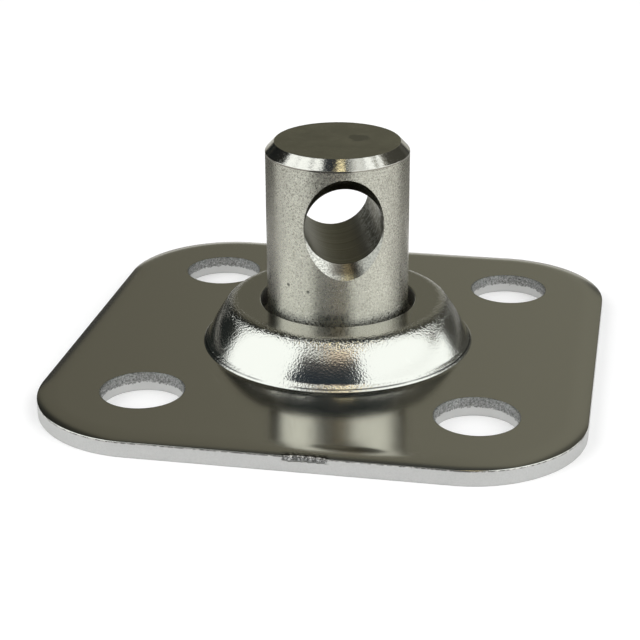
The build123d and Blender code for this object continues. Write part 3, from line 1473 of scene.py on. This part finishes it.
@dataclass
class Studio:
    """The floor, the lamps, the surroundings that the metal mirrors, and the camera.

    Azimuths count from the camera's own, towards +X.
    """

    camera_turn: float = 10.161
    camera_lift: float = 22.957
    camera_away: float = 143.59
    camera_side: float = 0.866
    camera_drop: float = -2.028
    camera_roll: float = 0.023
    aim_height: float = 5.271
    lens: float = 95.115
    shift: float = -0.04375
    lamp_away: float = 350.0
    lamp_height: float = 2.36
    floor_half: float = 240.0
    ambient: float = 0.35
    floor_glow: float = 0.25
    mat_from: float = 33.0
    mat_to: float = 72.0
    mat_height: float = 0.2
    wall_away: float = 620.0

    def camera(self) -> bpy.types.Object:
        """Makes the camera that looks as the photograph does.

        It looks back along the direction given by its azimuth and elevation, from its distance
        in front of the aim, moved a little to the side and down in its own frame.

        Returns:
            The camera.
        """
        turn, lift = math.radians(self.camera_turn), math.radians(self.camera_lift)
        ahead = Vector((math.sin(turn), -math.cos(turn), 0.0))
        back = ahead * math.cos(lift) + Vector((0.0, 0.0, math.sin(lift)))
        level = Vector((math.cos(turn), math.sin(turn), 0.0))
        right = Matrix.Rotation(math.radians(self.camera_roll), 3, back) @ level
        up = back.cross(right)
        eye = Vector((0.0, 0.0, self.aim_height)) + back * self.camera_away
        eye += right * self.camera_side + up * self.camera_drop
        data = bpy.data.cameras.new("camera")
        data.lens = self.lens
        data.sensor_width = 36.0
        data.shift_x = self.shift
        data.clip_start = 0.001
        made = link("camera", data)
        pose = Matrix((right, up, back)).transposed().to_4x4()
        made.matrix_world = Matrix.Translation(eye * MM) @ pose
        bpy.context.scene.camera = made
        return made

    def lamps(self) -> None:
        """Two tall soft boxes, to the left and to the right of the camera."""
        away = self.lamp_away
        for name, azimuth, width in (("left_box", -76.0, 1.62), ("right_box", 62.0, 2.04)):
            turn = azimuth + self.camera_turn
            SoftBox(name, turn, width * away, self.lamp_height * away, away).build()
            log.info("lamp %s", name)

    def surroundings(self) -> None:
        """The dim room with its two white panels, and the dark mat that the metal mirrors."""
        white = (1.42, 1.5, 1.5)
        dimmed = (1.0, 1.05, 1.03)
        night = (0.025, 0.036, 0.048)
        lamp = (2.3, 2.05, 1.25)
        zenith = (0.02, 0.027, 0.031)
        back_left, back_right = (0.6, 0.6, 0.56), (0.6, 0.6, 0.55)
        zones = (
            Zone((-190, 190), (66, 120), zenith, zenith),
            Zone((-190, 190), (57, 66), (0.07, 0.07, 0.06), (0.04, 0.045, 0.045)),
            Zone((-154, -104), (-20, 15), (0.008, 0.012, 0.014), (0.02, 0.024, 0.022)),
            Zone((-152, -104), (15, 66), (0.012, 0.014, 0.014), (0.04, 0.04, 0.032)),
            Zone((104, 152), (15, 66), (0.06, 0.06, 0.05), (0.09, 0.09, 0.075)),
            Zone((104, 156), (-20, 16), (0.045, 0.05, 0.045), (0.09, 0.09, 0.08)),
            Zone((-164, -150), (7, 15), (0.01, 0.012, 0.014), (0.03, 0.03, 0.03), (4.0, 2.0)),
            Zone((-190, -157), (-20, 6), back_left, back_left, (4.0, 2.0)),
            Zone((150, 164), (7, 15), (0.05, 0.05, 0.05), (0.08, 0.08, 0.07), (4.0, 2.0)),
            Zone((157, 190), (-20, 7), back_right, back_right, (4.0, 2.0)),
            Zone((-109, -38), (-20, 50), white, white),
            Zone((-92, -36), (40, 60), white, white),
            Zone((-64, -37), (50, 66), white, white),
            Zone((18, 116), (-20, 17), white, white),
            Zone((18, 100), (17, 50), white, white),
            Zone((18, 86), (40, 60), white, white),
            Zone((20, 68), (50, 66), dimmed, dimmed),
            Zone((-29, 21), (-20, 12), night, night),
            Zone((-43, 22), (12, 27), night, night, (4.0, 4.0)),
            Zone((-38, 21), (27, 41), (0.03, 0.04, 0.052), (0.12, 0.11, 0.1), (5.0, 2.0)),
            Zone((-37, -12), (41, 55), (0.82, 0.86, 0.84), (0.9, 0.92, 0.88), (5.0, 2.0)),
            Zone((-12, 19), (41, 55), (0.85, 0.72, 0.56), (1.0, 0.87, 0.68), (6.0, 2.0)),
            Zone((-38, 22), (55, 90), (0.03, 0.036, 0.042), (0.05, 0.055, 0.06)),
            Zone((-2, 20), (55, 68), lamp, lamp, (3.0, 2.0)),
        )
        away, near, height = self.wall_away, self.mat_to, self.mat_height
        for made in (
            Backdrop("room", zones, (away, away), (-1.0, 90.0)),
            Backdrop("near_mat", self.mat(0.26, 0.34), (self.mat_from, near), height=height),
            Backdrop("far_mat", self.mat(0.01, 0.05), (near, away), height=height),
        ):
            made.build(self.camera_turn)
            log.info("backdrop %s", made.name)

    def mat(self, left_side: float, right_side: float) -> tuple[Zone, ...]:
        """The zones of a mat: pale at the back and below the panels, dark below the gap.

        Args:
            left_side: Brightness on the left, behind the panel.
            right_side: Brightness on the right, behind the panel.

        Returns:
            The zones, in the order in which they are painted.
        """
        tones = (
            ((-190.0, -160.0), 0.6),
            ((160.0, 190.0), 0.45),
            ((-158.0, -104.0), left_side),
            ((104.0, 158.0), right_side),
            ((-112.0, -40.0), 0.38),
            ((20.0, 108.0), 0.5),
            ((-43.0, 22.0), 0.08),
        )
        return tuple(
            Zone(turn, (-90.0, 90.0), *[(tone, tone, 0.93 * tone)] * 2, (8.0, 4.0))
            for turn, tone in tones
        )

    def floor(self) -> bpy.types.Object:
        """A pale floor. It glows a little where it is seen, which brings it up to white.

        Returns:
            The floor.
        """
        along = np.linspace(-self.floor_half, self.floor_half, 9)
        x, y = np.meshgrid(along, along, indexing="ij")
        material = bpy.data.materials.new("pale_floor")
        w = Wiring(material)
        matt = w.node("BsdfDiffuse", {"Color": (0.8, 0.8, 0.8, 1.0)})
        strength = w.times(w.seen(), self.floor_glow)
        glow = w.node("Emission", {"Color": PURE_WHITE, "Strength": strength})
        both = w.node("AddShader", {0: matt.outputs[0], 1: glow.outputs[0]})
        w.node("OutputMaterial", {"Surface": both.outputs[0]})
        return staged("floor", columns(x, y, 0.0), material)

    def world(self) -> None:
        """White where it is seen, and a plain even light on everything else."""
        world = bpy.data.worlds.new("white_room")
        w = Wiring(world)
        strength = w.between(w.seen(), self.ambient, 1.0)
        back = w.node("Background", {"Color": PURE_WHITE, "Strength": strength})
        w.node("OutputWorld", {"Surface": back.outputs[0]})
        bpy.context.scene.world = world

    def build(self) -> None:
        """Builds the whole studio."""
        self.camera()
        self.lamps()
        self.surroundings()
        self.floor()
        self.world()
        bpy.context.scene.view_settings.view_transform = "Standard"


def dressed() -> dict[Finish, bpy.types.Material]:
    """Makes the material of every finish.

    Returns:
        Materials by finish.
    """
    made: dict[Finish, bpy.types.Material] = {}
    for kind, finish in (
        (Finish.SHEET, PolishedSheet()),
        (Finish.EDGE, ShearedEdge()),
        (Finish.HOLE, PiercedWall()),
        (Finish.TURNED, TumbledTurning()),
        (Finish.CUT, BrightCut()),
        (Finish.SINK, Countersink()),
        (Finish.FACE, FacedTop()),
        (Finish.BORE, DrilledBore()),
    ):
        steel = Steel(kind.value, finish.colour, finish.roughness)
        finish.dress(steel)
        made[kind] = steel.material
    return made


def main() -> None:
    """Builds the studio and both pieces, and logs how many faces each piece has."""
    logging.basicConfig(level=logging.INFO, format="%(message)s")
    Studio().build()
    finishes = dressed()
    for maker in (BasePlate(), SwivelPost()):
        piece = maker.build(finishes)
        log.info("piece %s: %d faces", piece.name, len(piece.data.polygons))
    bpy.context.view_layer.update()


if __name__ == "__main__":
    main()
